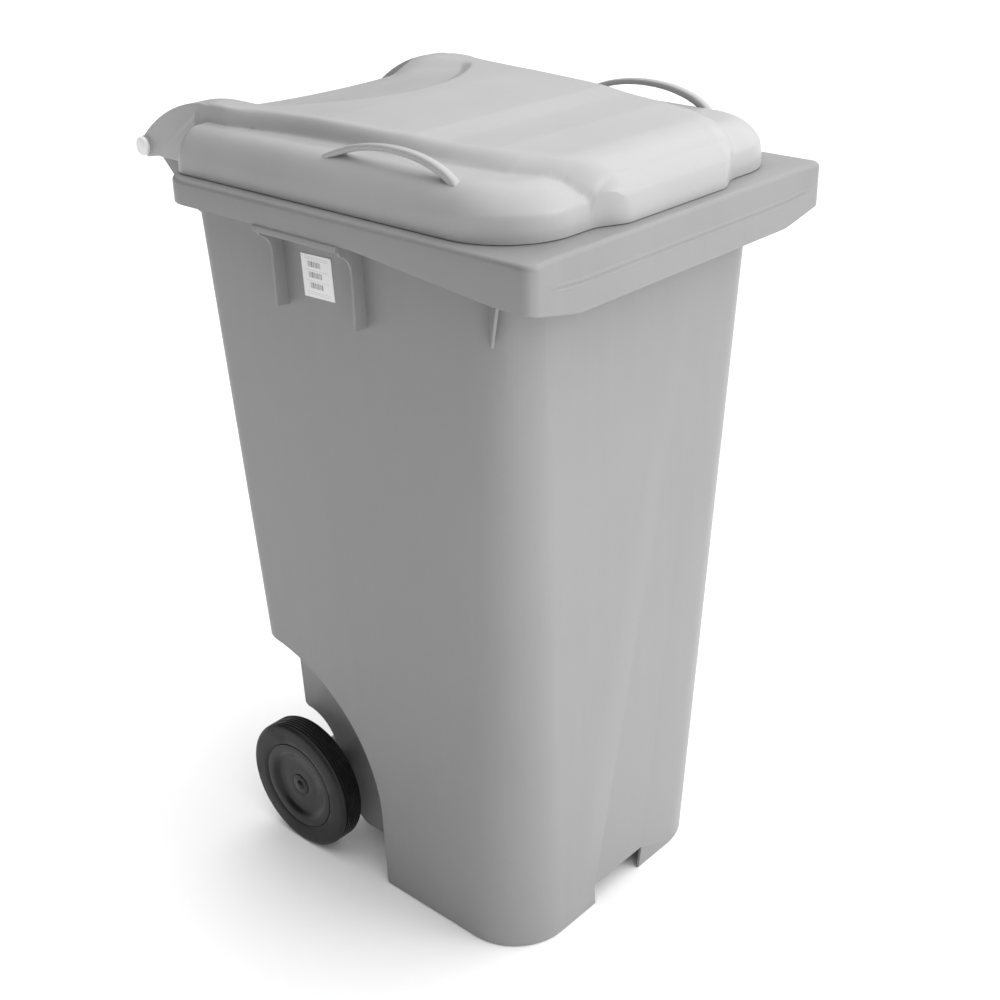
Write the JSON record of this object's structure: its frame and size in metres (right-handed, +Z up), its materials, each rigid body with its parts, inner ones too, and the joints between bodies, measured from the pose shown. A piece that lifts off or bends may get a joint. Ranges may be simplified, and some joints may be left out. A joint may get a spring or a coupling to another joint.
{
  "type": "wheelie bin",
  "caption": "Two-wheeled household bin with a tapered tub, flanged rim, domed lid with carrying loops hinged on pins at the back, and rubber wheels on an axle.",
  "frame": {"origin": "on the ground, at the middle of the whole bin's width and depth", "axes": "+Z up, +Y towards the wheels and hinge, the front faces -Y, +X to the right seen from the front"},
  "size_m": [0.57, 0.728, 1.1],
  "materials": {
    "tub": "satin",
    "lid": "satin",
    "pin": "satin",
    "axle": "zinc plated",
    "clip": "satin",
    "bush": "satin",
    "hub": "satin",
    "tyre": "matt",
    "label": "matt printed film"
  },
  "bodies": {
    "tub_body": {"tub": "tub", "hinge_pin_left": "pin", "hinge_pin_right": "pin", "axle": "axle", "axle_bush_left": "bush", "axle_bush_right": "bush", "spacer_left": "bush", "spacer_right": "bush", "retaining_clip_left": "clip", "retaining_clip_right": "clip", "label": "label"},
    "lid_body": {"lid": "lid", "lid_handle_left": "lid", "lid_handle_right": "lid"},
    "wheel_left": {"hub_left": "hub", "tyre_left": "tyre", "hub_cap_left": "hub"},
    "wheel_right": {"hub_right": "hub", "tyre_right": "tyre", "hub_cap_right": "hub"}
  },
  "joints": [
    {"name": "lid_hinge", "type": "hinge", "parent": "tub_body", "child": "lid_body", "pos_m": [0, 0.348, 1.029], "axis": [-1, 0, 0], "range_deg": [0, 270]},
    {"name": "wheel_left_spin", "type": "hinge", "parent": "tub_body", "child": "wheel_left", "pos_m": [-0.208, 0.147, 0.1], "axis": [1, 0, 0], "continuous": true},
    {"name": "wheel_right_spin", "type": "hinge", "parent": "tub_body", "child": "wheel_right", "pos_m": [0.208, 0.147, 0.1], "axis": [1, 0, 0], "continuous": true}
  ]
}
